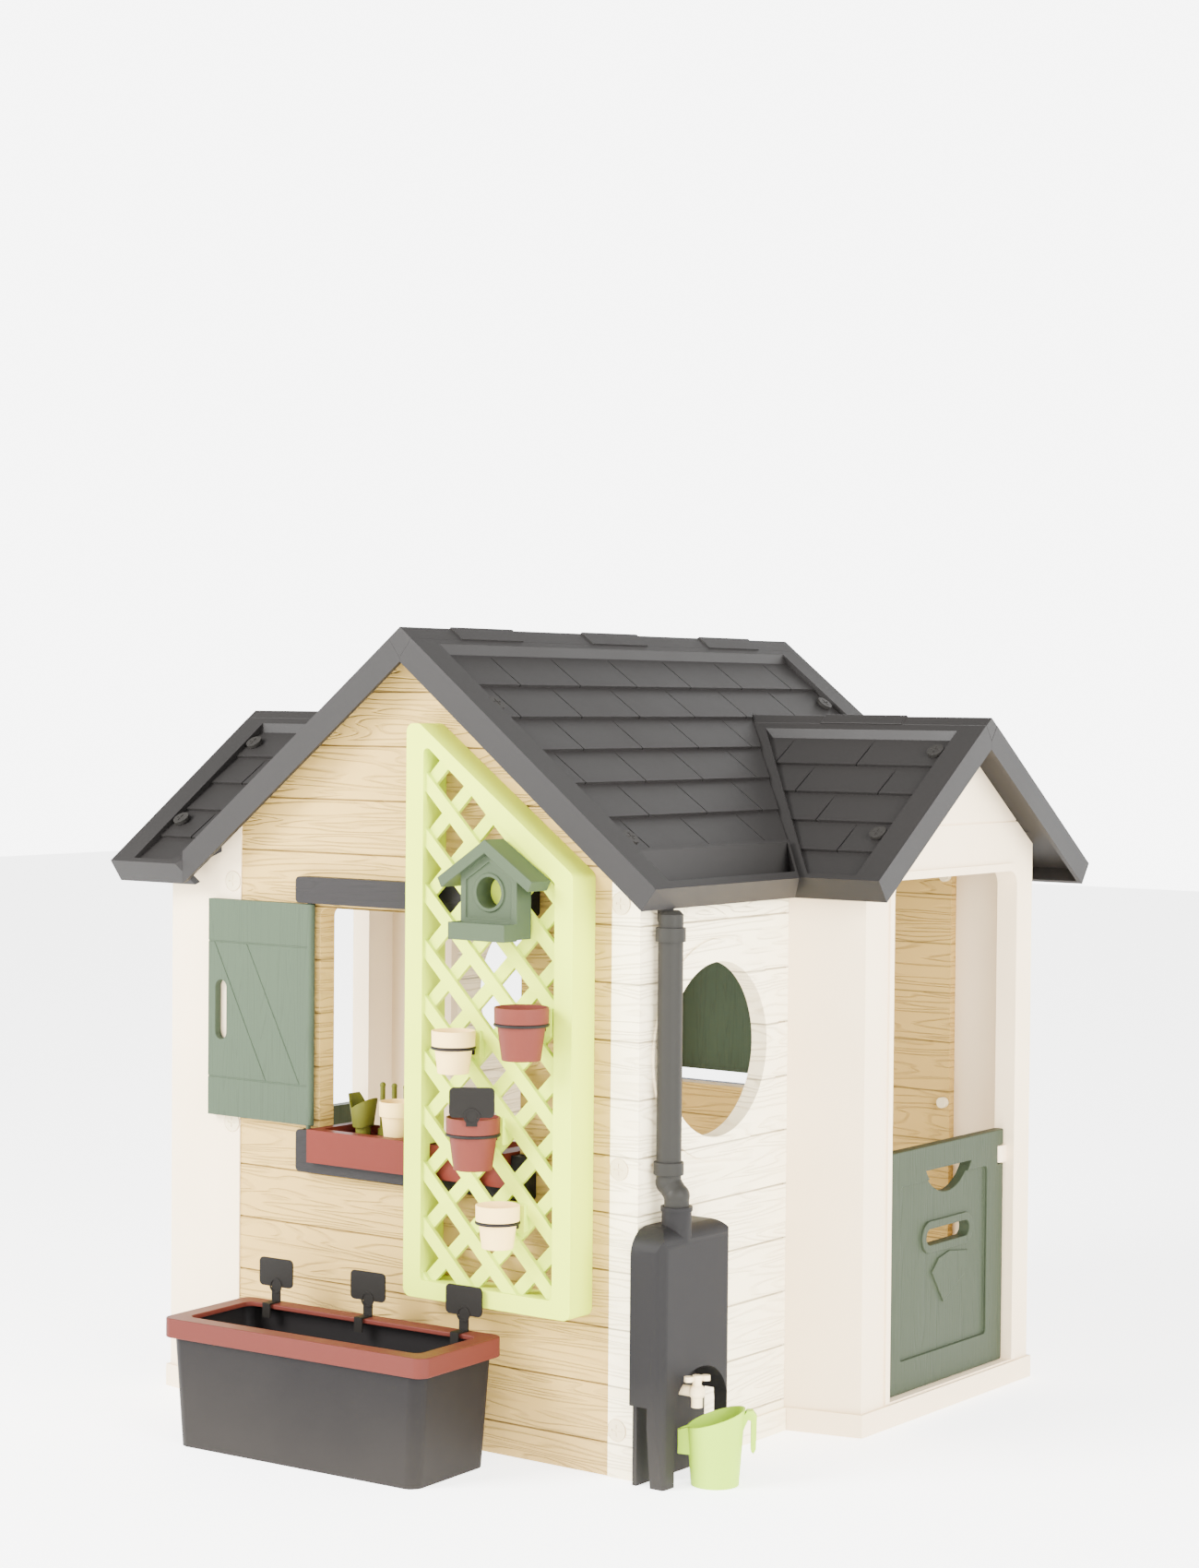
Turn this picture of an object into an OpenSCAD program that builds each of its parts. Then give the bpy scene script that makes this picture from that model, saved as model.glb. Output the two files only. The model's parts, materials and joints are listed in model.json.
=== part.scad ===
// Garden playhouse for children: panelled walls, shingled roof with two dormers,
// shutters, half doors, a trellis with pots, a rain tank and a free-standing planter.
// X runs across the front, Y to the back, Z up. The house is the same seen from the
// front and from the back, so the left and back pieces are half turns of the others.

/* [House] */
// Width across the two side walls
house_w = 910; // [820:5:1100]
// Depth over the front and back walls
house_d = 1060; // [1000:5:1280]
// Thickness of the front and back walls
wall_t = 36; // [26:1:40]
// Thickness of the side walls
side_t = 26; // [20:1:28]
// Width of the corner post flange
post_w = 55; // [48:1:70]
// How far the post flange stands proud of the front wall
post_proud = 3; // [2:0.5:3]
// Height of one plank
plank_h = 91.5; // [70:0.5:120]
// Height of the first plank joint
plank_z0 = 53.5; // [40:0.5:60]
// Width of a plank joint
joint_w = 3; // [2:0.5:5]
// Depth of a plank joint
joint_d = 2.5; // [1:0.5:4]
// Height of the foot skirting
skirt_h = 39; // [30:1:46]
// How far the skirting stands proud
skirt_out = 6; // [3:1:10]

/* [Roof] */
// Height of the upper eave edge
eave_z = 941; // [935:1:1000]
// Eave overhang past the side wall
eave_over = 65; // [60:1:90]
// Gable overhang past the front wall
gable_over = 53; // [40:1:80]
// Main roof pitch in degrees
main_pitch = 38.19; // [34:0.5:42]
// Dormer pitch in degrees
dormer_pitch = 35.67; // [32:0.5:38]
// Half width of a dormer
dormer_half = 372; // [350:1:400]
// Dormer eave overhang past the gable wall of the house
dormer_end_over = 62; // [56:1:70]
// Roof overhang in front of the porch
porch_over = 73; // [50:1:90]
// Thickness of a roof panel
roof_t = 18; // [17:1:24]
// Depth of the fascia and barge edges
edge_drop = 45; // [35:1:50]
// Thickness of the fascia and barge edges
edge_t = 8; // [6:1:10]
// Depth of the shingle field below the border
field_d = 12; // [8:1:13]
// Rise of one shingle row
row_rise = 5; // [4:1:8]
// Width of the plain border at the barge
border_w = 60; // [45:1:70]
// Length of one shingle
tile_w = 167; // [120:1:200]
// Exposed height of a main roof shingle
tile_h = 84.7; // [60:0.1:90]
// Exposed height of a dormer shingle
dormer_tile_h = 80; // [60:1:90]
// Half width of the main ridge cap along the slope
cap_u = 31; // [28:1:40]
// Half width of a dormer ridge cap along the slope
dormer_cap_u = 24; // [22:1:30]
// Thickness of the ridge caps
cap_t = 9; // [6:1:10]

/* [Porch] */
// How far the porch stands out from the side wall
porch_out = 132; // [120:1:150]
// Half width of the porch front
porch_half = 290; // [280:1:300]
// Thickness of the porch front wall
porch_t = 36; // [30:1:40]
// Depth that the near side of the porch splays over
near_splay = 33; // [20:1:36]
// Width of the doorway
door_w = 429; // [400:1:440]
// Doorway centre from the porch centre
door_shift = 11.5; // [0:0.5:14]
// Height of the door sill
sill_z = 42; // [42:1:60]
// Height of the doorway
door_h = 889; // [850:1:890]
// Height of the half door
half_door_h = 418; // [380:1:440]
// Thickness of the half door
half_door_t = 22; // [18:1:24]
// Setback of the half door from the porch face
door_setback = 12; // [10:0.5:24]
// Gap around the half door
door_gap = 3; // [2:0.5:4]
// Radius of the door hinge pin
door_pin_r = 5; // [4:0.5:6]

/* [Windows] */
// Width of a window opening
win_w = 434; // [400:1:440]
// Height of the lower edge of the window opening
win_z = 480; // [470:1:520]
// Height of a window opening
win_h = 395; // [380:1:396]
// Radius of the round window
round_r = 143; // [110:1:145]
// Height of the round window centre
round_z = 666; // [640:1:680]
// Width of the raised ring of the round window
ring_w = 38; // [20:1:40]
// Shutter width from the hinge axis
shutter_w = 230; // [210:1:230]
// Shutter height
shutter_h = 378; // [360:1:378]
// Shutter thickness
shutter_t = 14; // [10:1:14]
// Radius of a shutter pin
shutter_pin_r = 4; // [3:0.5:4]
// Width of lintel and sill past the opening on each side
trim_side = 37; // [36:1:45]
// How far lintel and sill stand out from the wall
trim_out = 23; // [22:1:26]
// Height of the lintel
lintel_h = 45; // [35:1:50]
// Height of the sill bar
sill_h = 56; // [50:1:60]
// How far the window tray stands out from the wall
tray_out = 36; // [30:1:36]

/* [Trellis] */
// Width of the trellis
trellis_w = 343; // [300:1:343]
// Lower edge of the trellis
trellis_z0 = 251; // [240:1:270]
// Height of the trellis on its low side
trellis_low = 706; // [660:1:720]
// Height of the trellis on its high side
trellis_high = 941; // [880:1:945]
// Depth of the trellis frame
trellis_d = 60; // [58:1:66]
// Width of the trellis frame bars
trellis_bar = 36; // [28:1:40]
// Spacing of the crossing slats
lattice_pitch = 91; // [75:1:110]
// Width of a slat
slat_w = 22; // [16:1:26]

/* [Pots] */
// Rim radius of a large pot
pot_r = 43; // [38:1:44]
// Height of a large pot
pot_h = 84; // [70:1:88]
// Rim radius of a small pot
small_pot_r = 35; // [30:1:37]
// Height of a small pot
small_pot_h = 69; // [60:1:74]
// Wall thickness of a pot
pot_wall = 2.5; // [2:0.5:3]
// Thickness of a pot ring
wire_r = 2.5; // [2:0.5:3]
// Width of a name label
label_w = 72; // [60:1:76]
// Height of a name label
label_h = 48; // [40:1:52]

/* [Rain system] */
// Radius of the downpipe
pipe_r = 20; // [16:1:21]
// Width of the rain tank
tank_w = 200; // [180:1:210]
// Depth of the rain tank
tank_d = 60; // [50:1:66]
// Height of the rain tank
tank_h = 420; // [400:1:424]
// Radius of the watering can at its base
can_r = 38; // [36:1:44]
// Height of the watering can rim
can_h = 122; // [110:1:122]

/* [Planter] */
// Length of the planter rim
planter_w = 540; // [460:5:600]
// Width of the planter rim
planter_d = 218; // [200:2:226]
// Height of the planter
planter_h = 211; // [180:1:212]
// Turn of the planter in degrees
planter_turn = 2.5; // [0:0.5:3]

/* [Fits] */
// Gap between pieces that only meet
fit = 0.3; // [0.2:0.1:0.5]
// Radial clearance of a hinge pin
pin_gap = 0.1; // [0.1:0.05:0.3]
// Gap along the roof valleys
valley_gap = 1; // [0.5:0.5:2]

/* [Hidden] */
$fn = 48;

wx = house_w / 2;
wy = house_d / 2;
eave_x = wx + eave_over;
roof_y = wy + gable_over;
main_s = tan(main_pitch);
dormer_s = tan(dormer_pitch);
ridge_z = eave_z + eave_x * main_s;
main_len = eave_x / cos(main_pitch);
dormer_y = wy + dormer_end_over - dormer_half;
dormer_ridge_z = eave_z + dormer_half * dormer_s;
dormer_len = dormer_half / cos(dormer_pitch);
dormer_x = wx + porch_out + porch_over;
// plan view of the valley: x = valley_x + valley_k * |y - dormer_y|
valley_x = (ridge_z - dormer_ridge_z) / main_s;
valley_k = dormer_s / main_s;
// the dormer skin runs on over the sunken field of the main roof
valley_lap = (field_d - 0.0) / cos(main_pitch) / main_s;
main_under = (roof_t + fit) / cos(main_pitch);
dormer_under = (roof_t + fit) / cos(dormer_pitch);
side_in = wx - side_t;
near_y = dormer_y - porch_half - near_splay;
porch_x = wx + porch_out;
door_y = dormer_y + door_shift;
round_y = (near_y - wy) / 2;
field_u0 = 43;
row_u0 = 57.3;
trough_run = 93.106;
trough_u = main_len - trough_run;
main_rows = floor((trough_u - 3 - row_u0) / tile_h + 0.01);
dormer_field_u0 = 40;
dormer_row_u0 = 53.5;
lintel_z = win_z + win_h + 8;
shutter_z = win_z + 23;
hinge_x = win_w / 2 + 14;
hinge_y = wy + 12.5;
screw_x = wx - post_w + 18;
screw_z = [76, 491, 912];
screw_r = 17;
screw_sink = 1.2;
shank_r = 4;
nut_r = 10;
roof_screw_r = 15;
main_screws = [[536, -wy + 18], [196, -wy + 12], [190, wy - 36]];
dormer_screws = [[95, dormer_x - 68], [327, dormer_x - 68]];
trellis_x = 22;
trellis_y = -wy - trellis_d;
tray_top = shutter_z - 3;
planter_x = -33;
planter_y = -wy - 176;
planter_r = 20;
planter_front = planter_y - (planter_w / 2 - planter_r) * sin(planter_turn)
    - (planter_d / 2 - planter_r) * cos(planter_turn) - planter_r;
y_shift = -(planter_front + dormer_y + dormer_half) / 2;
pipe_x = wx + 27;
pipe_y = -wy + 42;
neck_x = pipe_x + 16;
tank_y0 = -wy - 32;
can_x = wx + 105;
can_y = -wy + 65;

beige = "#e6d6bb";
cream = "#f5f1e6";
slate = "#6f6e6c";
sage = "#9fae98";
lime = "#dbe69c";
clay = "#c27a70";
pot_cream = "#efe4d0";
leaf = "#a3a468";

// ---------- helpers ----------
module place() { translate([0, y_shift, 0]) children(); }
module half_turn() { rotate([0, 0, 180]) children(); }
module along_x(x0, x1) { translate([x0, 0, 0]) rotate([90, 0, 90]) linear_extrude(x1 - x0) children(); }
module along_y(y0, y1) { translate([0, y1, 0]) rotate([90, 0, 0]) linear_extrude(y1 - y0) children(); }
module on_main() { translate([0, 0, ridge_z]) rotate([0, main_pitch, 0]) children(); }
module on_dormer() {
    translate([0, dormer_y, dormer_ridge_z]) rotate([0, 0, -90]) rotate([0, dormer_pitch, 0]) children();
}
module other_slope() { translate([0, 2 * dormer_y, 0]) mirror([0, 1, 0]) children(); }

// rectangle with true round corners, centred
module round_rect(w, h, r) {
    square([w - 2 * r, h], center = true);
    square([w, h - 2 * r], center = true);
    for (sx = [-1, 1]) for (sy = [-1, 1])
        translate([sx * (w / 2 - r), sy * (h / 2 - r)]) circle(r);
}
// rectangle with two round corners at the top, standing on y = 0
module arch_rect(w, h, r) {
    translate([-w / 2, 0]) square([w, h - r]);
    translate([-w / 2 + r, 0]) square([w - 2 * r, h]);
    for (sx = [-1, 1]) translate([sx * (w / 2 - r), h - r]) circle(r);
}
// slot with round ends, w long
module stadium(w, h) {
    square([w - h, h], center = true);
    for (sx = [-1, 1]) translate([sx * (w - h) / 2, 0]) circle(h / 2);
}
// area below the main roof skin, seen from the front
module under_main(top) {
    polygon([[-wx - 300, -1], [wx + 300, -1],
        [wx + 300, ridge_z - top - (wx + 300) * main_s], [0, ridge_z - top],
        [-wx - 300, ridge_z - top - (wx + 300) * main_s]]);
}
// area below the dormer skin, seen from the side
module under_dormer(top) {
    half = dormer_half - edge_t - 2;
    polygon([[dormer_y - half, -1], [dormer_y + half, -1],
        [dormer_y + half, dormer_ridge_z - top - half * dormer_s],
        [dormer_y, dormer_ridge_z - top],
        [dormer_y - half, dormer_ridge_z - top - half * dormer_s]]);
}
// plan area that the right dormer takes, moved back towards the ridge by lap
module dormer_plan(lap) {
    reach = dormer_half + 200;
    polygon([[valley_x - lap, dormer_y],
        [valley_x - lap + valley_k * reach, dormer_y - reach],
        [valley_x - lap + valley_k * reach, dormer_y + reach]]);
}
module dormer_prism(lap) { translate([0, 0, 500]) linear_extrude(1200) dormer_plan(lap); }
// space taken by the right dormer above its underside
module dormer_shadow() {
    difference() {
        dormer_prism(valley_lap + valley_gap);
        along_x(0, dormer_x) under_dormer(dormer_under);
    }
}
// plank joints across a face that looks along -Y, at y = face
module plank_joints(x0, x1, face, z_top) {
    for (z = [plank_z0 : plank_h : z_top])
        translate([x0, face - 1, z - joint_w / 2]) cube([x1 - x0, joint_d + 1, joint_w]);
}

// ---------- walls ----------
module gable_wall() {
    end = side_in - fit;
    difference() {
        intersection() {
            along_y(-wy, -wy + wall_t) under_main(main_under);
            translate([-end, -wy - 1, 0]) cube([2 * end, wall_t + 2, 2000]);
        }
        translate([0, 0, win_z]) along_y(-wy - 1, -wy + wall_t + 1) arch_rect(win_w, win_h, 16);
        plank_joints(-wx + post_w, wx - post_w, -wy, ridge_z - 40);
        half_turn() dormer_shadow();
        for (sx = [-1, 1]) for (z = screw_z)
            translate([sx * screw_x, -wy + wall_t + 1, z]) rotate([90, 0, 0])
                cylinder(r = shank_r + fit, h = wall_t + 2);
    }
}
module front_wall() { place() color(beige) gable_wall(); }
module back_wall() { place() color(beige) half_turn() gable_wall(); }

// side wall with a round window and the corner post at its outer end
module window_wall() {
    top = ridge_z - wx * main_s - main_under - 8;
    face = -wy - post_proud;
    difference() {
        union() {
            linear_extrude(top) polygon([[wx, near_y - fit], [wx, face], [wx - post_w, face],
                [wx - post_w, -wy - fit], [side_in, -wy - fit], [side_in, near_y - fit]]);
            // skirting on the side face
            translate([wx - 1, face, 0]) cube([skirt_out + 1, near_y - 3 - face, skirt_h]);
            translate([wx - 1, round_y, round_z]) rotate([0, 90, 0]) cylinder(r = round_r + ring_w, h = 5);
        }
        translate([side_in - 1, round_y, round_z]) rotate([0, 90, 0])
            cylinder(r = round_r, h = side_t + 20);
        difference() {
            for (z = [plank_z0 : plank_h : top])
                translate([wx - joint_d, face + 12, z - joint_w / 2])
                    cube([joint_d + 1, near_y - face - 20, joint_w]);
            translate([side_in, round_y, round_z]) rotate([0, 90, 0]) cylinder(r = round_r + ring_w, h = 60);
        }
        for (z = screw_z) translate([screw_x, -wy + 1, z]) rotate([90, 0, 0]) {
            cylinder(r = shank_r + fit, h = 20);
            translate([0, 0, post_proud + 1 - screw_sink]) cylinder(r = screw_r + 1.5, h = 9);
        }
    }
}
module right_window_wall() { place() color(cream) window_wall(); }
module left_window_wall() { place() color(cream) half_turn() window_wall(); }

// porch: front with the doorway, two splayed sides and the far corner post
near_k = near_splay / porch_out;
far_y = dormer_y + porch_half;
post_back = wy + post_proud;
far_k = (post_back - far_y) / porch_out;
porch_in = porch_x - porch_t;
module porch_plan() {
    near_t = side_t * sqrt(1 + near_k * near_k);
    far_t = side_t * sqrt(1 + far_k * far_k);
    polygon([[wx, near_y], [porch_x, near_y + near_splay], [porch_x, far_y], [wx, post_back],
        [wx - post_w, post_back], [wx - post_w, wy + fit], [side_in, wy + fit],
        [side_in, post_back - far_t + far_k * side_t],
        [porch_in, post_back - far_t - far_k * (porch_out - porch_t)],
        [porch_in, near_y + near_t + near_k * (porch_out - porch_t)],
        [side_in, near_y + near_t - near_k * side_t], [side_in, near_y]]);
}
module porch_skirt_plan() {
    polygon([[wx, near_y], [wx + skirt_out, near_y - skirt_out / 3],
        [porch_x + skirt_out, near_y + near_splay - skirt_out],
        [porch_x + skirt_out, far_y + skirt_out], [wx + skirt_out, post_back + skirt_out / 3],
        [wx, post_back], [porch_x - 8, far_y - 4], [porch_x - 8, near_y + near_splay + 4]]);
}
door_axis_x = porch_x - door_setback - half_door_t / 2;
door_axis_y = door_y + door_w / 2 - door_gap - half_door_t / 2;
door_top = sill_z + 2 + half_door_h;
knuckle_z = door_top - 60;
knuckle_h = 30;
module porch_wall() {
    difference() {
        union() {
            intersection() {
                linear_extrude(1400) porch_plan();
                union() {
                    along_y(-wy - 10, wy + 10) under_main(main_under);
                    translate([0, 0, 0]) along_x(side_in - 60, porch_x + 5) under_dormer(dormer_under);
                }
            }
            linear_extrude(skirt_h) porch_skirt_plan();
            // raised lip around the doorway
            translate([0, door_y, sill_z - 8]) along_x(porch_x - 1, porch_x + 4)
                difference() {
                    arch_rect(door_w + 28, door_h + 22, 40);
                    translate([0, -1]) square([door_w + 40, 18], center = true);
                }
        }
        translate([0, door_y, sill_z]) along_x(porch_in - 1, porch_x + 30) arch_rect(door_w, door_h, 26);
        // groove under the gable field
        translate([porch_x - joint_d, dormer_y - porch_half, sill_z + door_h + 88])
            cube([joint_d + 1, 2 * porch_half, joint_w]);
        dormer_shadow();
        for (z = screw_z) translate([screw_x, wy + 10, z]) rotate([90, 0, 0]) {
            cylinder(r = shank_r + fit, h = 12);
            cylinder(r = screw_r + 1.5, h = 10 - post_proud + screw_sink);
        }
        // seat of the lower door pin
        translate([door_axis_x, door_axis_y, sill_z - 14]) cylinder(r = door_pin_r + pin_gap, h = 20);
    }
    // knuckle that holds the upper door pin
    difference() {
        union() {
            translate([door_axis_x, door_axis_y, knuckle_z]) cylinder(r = half_door_t / 2, h = knuckle_h);
            translate([door_axis_x - half_door_t / 2, door_axis_y, knuckle_z])
                cube([half_door_t, half_door_t / 2 + door_gap + 2, knuckle_h]);
        }
        translate([door_axis_x, door_axis_y, knuckle_z - 1]) cylinder(r = door_pin_r + pin_gap, h = knuckle_h + 2);
    }
}
module right_porch_wall() { place() color(cream) porch_wall(); }
module left_porch_wall() { place() color(cream) half_turn() porch_wall(); }

// half door that turns on pins in the far jamb
module half_door() {
    y0 = door_y - door_w / 2 + door_gap;
    z0 = sill_z + 2;
    face = door_axis_x + half_door_t / 2;
    cy = (y0 + door_axis_y) / 2;
    difference() {
        union() {
            translate([door_axis_x - half_door_t / 2, y0, z0]) cube([half_door_t, door_axis_y - y0, half_door_h]);
            translate([door_axis_x, door_axis_y, z0]) cylinder(r = half_door_t / 2, h = half_door_h);
            translate([door_axis_x, door_axis_y, z0 - 12]) cylinder(r = door_pin_r, h = 14);
        }
        // sunken panel
        translate([0, cy, z0 + half_door_h / 2 - 2]) along_x(face - 5, face + 1)
            round_rect(door_w - 128, half_door_h - 116, 8);
        // notch for the knuckle of the jamb
        translate([door_axis_x - half_door_t, door_axis_y - half_door_t / 2 - 5, knuckle_z - 2])
            cube([2 * half_door_t, half_door_t + 20, knuckle_h + 4]);
        // half-round peep hole below the top rail
        intersection() {
            translate([0, cy + 14, knuckle_z + 65]) along_x(porch_in - 30, porch_x) circle(r = 92.7);
            translate([porch_in - 30, cy - 86, knuckle_z - 29]) cube([porch_t + 40, 200, 46]);
        }
        // letter slot
        translate([0, cy + 14, z0 + 257]) along_x(porch_in - 30, porch_x) stadium(150, 28);
    }
    // raised ring around the letter slot
    translate([0, cy + 14, z0 + 257]) along_x(face - 6, face - 0.5) difference() {
        stadium(180, 56);
        stadium(150, 28);
    }
    // raised kite below the slot
    translate([0, cy + 14, z0 + 190]) along_x(face - 6, face - 1.5)
        polygon([[-54, 4], [-12, -54], [62, -14], [74, 26], [8, 34], [-30, 26]]);
    translate([door_axis_x, door_axis_y, knuckle_z - 3]) cylinder(r = door_pin_r, h = knuckle_h + 6);
}
module right_half_door() { place() color(sage) half_door(); }
module left_half_door() { place() color(sage) half_turn() half_door(); }

// ---------- roof ----------
// saw-tooth section of overlapping rows, with the slope of the border down to the field
module rows_section(u_top, u0, pitch, rows) {
    polygon(concat([[u_top - 0.5, -field_d - 1], [u_top - 0.5, 0], [u0, -field_d]],
        [for (i = [0 : rows - 1]) for (k = [0, 1])
            [u0 + (i + k) * pitch, -field_d + k * row_rise]],
        [[u0 + rows * pitch, -field_d - 1]]));
}
module main_roof() {
    field_y = roof_y - border_w;
    field_u1 = row_u0 + main_rows * tile_h;
    difference() {
        union() {
            on_main() difference() {
                union() {
                    translate([cap_u + fit, -roof_y, -roof_t]) cube([main_len - cap_u - fit, 2 * roof_y, roof_t]);
                    translate([16, -roof_y + edge_t + fit, -roof_t])
                        cube([cap_u, 2 * (roof_y - edge_t - fit), roof_t - cap_t - fit]);
                    for (y = [-roof_y, roof_y - edge_t]) translate([cap_u + fit, y, -edge_drop])
                        cube([main_len - cap_u - fit, edge_t, edge_drop]);
                    translate([main_len - edge_t, -roof_y, -edge_drop]) cube([edge_t, 2 * roof_y, edge_drop]);
                }
                translate([field_u0, -field_y, -field_d]) cube([field_u1 - field_u0, 2 * field_y, field_d + 1]);
            }
            on_main() difference() {
                along_y(-field_y - 0.5, field_y + 0.5) rows_section(field_u0, row_u0, tile_h, main_rows);
                for (r = [0 : main_rows - 1]) for (k = [-4 : 4])
                    translate([row_u0 + r * tile_h + 5, -396.5 + (k + 2) * tile_w - (r % 2) * tile_w / 2 - 1.5,
                        -field_d]) cube([tile_h - 3, 3, field_d + 1]);
            }
            difference() {
                along_y(-wy - 5, near_y - 1) gutter_shell();
                translate([0, 0, 900]) linear_extrude(200) dormer_plan(valley_lap);
            }
        }
        dormer_prism(valley_lap);
        translate([-300 + fit / 2, -roof_y - 1, ridge_z - 200]) cube([300, 2 * roof_y + 2, 300]);
        difference() {
            along_y(-wy, dormer_y) gutter_hollow();
            dormer_prism(valley_lap + 6);
        }
        on_main() for (s = main_screws) translate([s[0], s[1], 0]) screw_seat();
    }
}
function main_z(x) = ridge_z - x * main_s;
// the gutter behind the fascia, in the XZ plane
gutter_x0 = trough_u * cos(main_pitch) + 2;
gutter_x1 = eave_x - 12.5;
gutter_z = main_z(eave_x) - 15;
module gutter_hollow() {
    polygon([[gutter_x0, main_z(gutter_x0) + 2], [gutter_x0 + 29.5, gutter_z],
        [gutter_x1 - 12, gutter_z], [gutter_x1, main_z(gutter_x1) + 2]]);
}
module gutter_shell() {
    polygon([[gutter_x0 - 3.5, main_z(gutter_x0) - 12], [gutter_x0 + 24.5, gutter_z - 5.5],
        [gutter_x1 - 16, gutter_z - 5.5], [gutter_x1 - 2.5, main_z(gutter_x1) - 12]]);
}
module screw_seat() {
    translate([0, 0, -8]) cylinder(r = roof_screw_r + fit, h = 10);
    translate([0, 0, -roof_t - 1]) cylinder(r = shank_r + fit, h = roof_t);
}
module right_main_roof() { place() color(slate) main_roof(); }
module left_main_roof() { place() color(slate) half_turn() main_roof(); }

// inverted V with raised tiles and closed ends
module v_section(pitch, half, w0, w1) {
    polygon([[0, w0 / cos(pitch)],
        [half * cos(pitch) + w0 * sin(pitch), -half * sin(pitch) + w0 * cos(pitch)],
        [half * cos(pitch) + w1 * sin(pitch), -half * sin(pitch) + w1 * cos(pitch)],
        [0, w1 / cos(pitch)],
        [-half * cos(pitch) - w1 * sin(pitch), -half * sin(pitch) + w1 * cos(pitch)],
        [-half * cos(pitch) - w0 * sin(pitch), -half * sin(pitch) + w0 * cos(pitch)]]);
}
// closed end of a cap, down to where the two barges meet
module cap_end(pitch, half) {
    polygon([[0, 0], [half * cos(pitch), -half * sin(pitch)], [0, -half / sin(pitch)],
        [-half * cos(pitch), -half * sin(pitch)]]);
}
module main_ridge_cap() {
    place() color(slate) translate([0, 0, ridge_z]) {
        along_y(-roof_y, roof_y) v_section(main_pitch, cap_u, 0, -cap_t);
        for (y = [-roof_y, roof_y - edge_t]) along_y(y, y + edge_t) cap_end(main_pitch, cap_u);
        for (k = [-1, 0, 1]) along_y(k * 2.2 * tile_w - tile_w / 2, k * 2.2 * tile_w + tile_w / 2)
            v_section(main_pitch, cap_u, 2, -1);
    }
}

module dormer_slope() {
    field_u1 = dormer_len - 11;
    rows = 5;
    field_x = dormer_x - 50;
    lap = valley_lap - valley_gap;
    difference() {
        on_dormer() {
            difference() {
                union() {
                    translate([dormer_cap_u + fit, valley_x - 60, -roof_t])
                        cube([dormer_len - dormer_cap_u - fit, dormer_x - valley_x + 60, roof_t]);
                    translate([14, valley_x - 60, -roof_t])
                        cube([dormer_cap_u, dormer_x - edge_t - fit - valley_x + 60, roof_t - cap_t - fit]);
                    translate([dormer_cap_u + fit, dormer_x - edge_t, -edge_drop])
                        cube([dormer_len - dormer_cap_u - fit, edge_t, edge_drop]);
                    translate([dormer_len - edge_t, valley_x, -edge_drop])
                        cube([edge_t, dormer_x - valley_x, edge_drop]);
                }
                translate([0, 0, -field_d]) linear_extrude(field_d + 1) dormer_field(field_u1, field_x, 0);
            }
            intersection() {
                difference() {
                    along_y(valley_x, field_x + 0.5)
                        rows_section(dormer_field_u0, dormer_row_u0, dormer_tile_h, rows);
                    for (r = [0 : rows - 1]) for (k = [-2 : 2])
                        translate([dormer_row_u0 + r * dormer_tile_h + 5,
                            dormer_x - 210 + k * tile_w + (r % 2) * tile_w / 2 - 1.5, -field_d])
                            cube([dormer_tile_h - 3, 3, field_d + 1]);
                }
                translate([0, 0, -field_d - 2]) linear_extrude(field_d + 3) dormer_field(field_u1, field_x, 0.5);
            }
        }
        translate([0, 0, 500]) linear_extrude(1200) polygon([[valley_x - lap, dormer_y + 1],
            [valley_x - lap, dormer_y],
            [valley_x - lap + valley_k * (dormer_half + 100), dormer_y - dormer_half - 100],
            [valley_x - 900, dormer_y - dormer_half - 100], [valley_x - 900, dormer_y + 1]]);
        translate([0, dormer_y - fit / 2, dormer_ridge_z - 200]) cube([2 * dormer_x, 300, 300]);
        on_dormer() for (s = dormer_screws) translate([s[0], s[1], 0]) screw_seat();
    }
}
module dormer_field(u1, x1, grow) {
    k = valley_k * cos(dormer_pitch);
    polygon([[dormer_field_u0 - grow, valley_x + 4 + dormer_field_u0 * k - grow],
        [u1 + grow, valley_x + 4 + u1 * k - grow], [u1 + grow, x1 + grow], [dormer_field_u0 - grow, x1 + grow]]);
}
module dormer_cap() {
    lap = valley_lap - valley_gap;
    difference() {
        translate([0, dormer_y, dormer_ridge_z]) {
            along_x(valley_x - lap, dormer_x) v_section(dormer_pitch, dormer_cap_u, 0, -cap_t);
            along_x(dormer_x - edge_t, dormer_x) cap_end(dormer_pitch, dormer_cap_u);
            along_x(valley_x + tile_w - 24, valley_x + 2 * tile_w - 24)
                v_section(dormer_pitch, dormer_cap_u, 2, -1);
        }
        for (m = [0, 1]) mirror_dormer(m) translate([0, 0, 500]) linear_extrude(1200)
            polygon([[valley_x - lap, dormer_y], [valley_x - lap + valley_k * 200, dormer_y - 200],
                [valley_x - 300, dormer_y - 200], [valley_x - 300, dormer_y]]);
    }
}
module mirror_dormer(m) {
    if (m == 0) children();
    if (m == 1) other_slope() children();
}
module right_dormer_near_slope() { place() color(slate) dormer_slope(); }
module right_dormer_far_slope() { place() color(slate) other_slope() dormer_slope(); }
module right_dormer_cap() { place() color(slate) dormer_cap(); }
module left_dormer_near_slope() { place() color(slate) half_turn() other_slope() dormer_slope(); }
module left_dormer_far_slope() { place() color(slate) half_turn() dormer_slope(); }
module left_dormer_cap() { place() color(slate) half_turn() dormer_cap(); }

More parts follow.
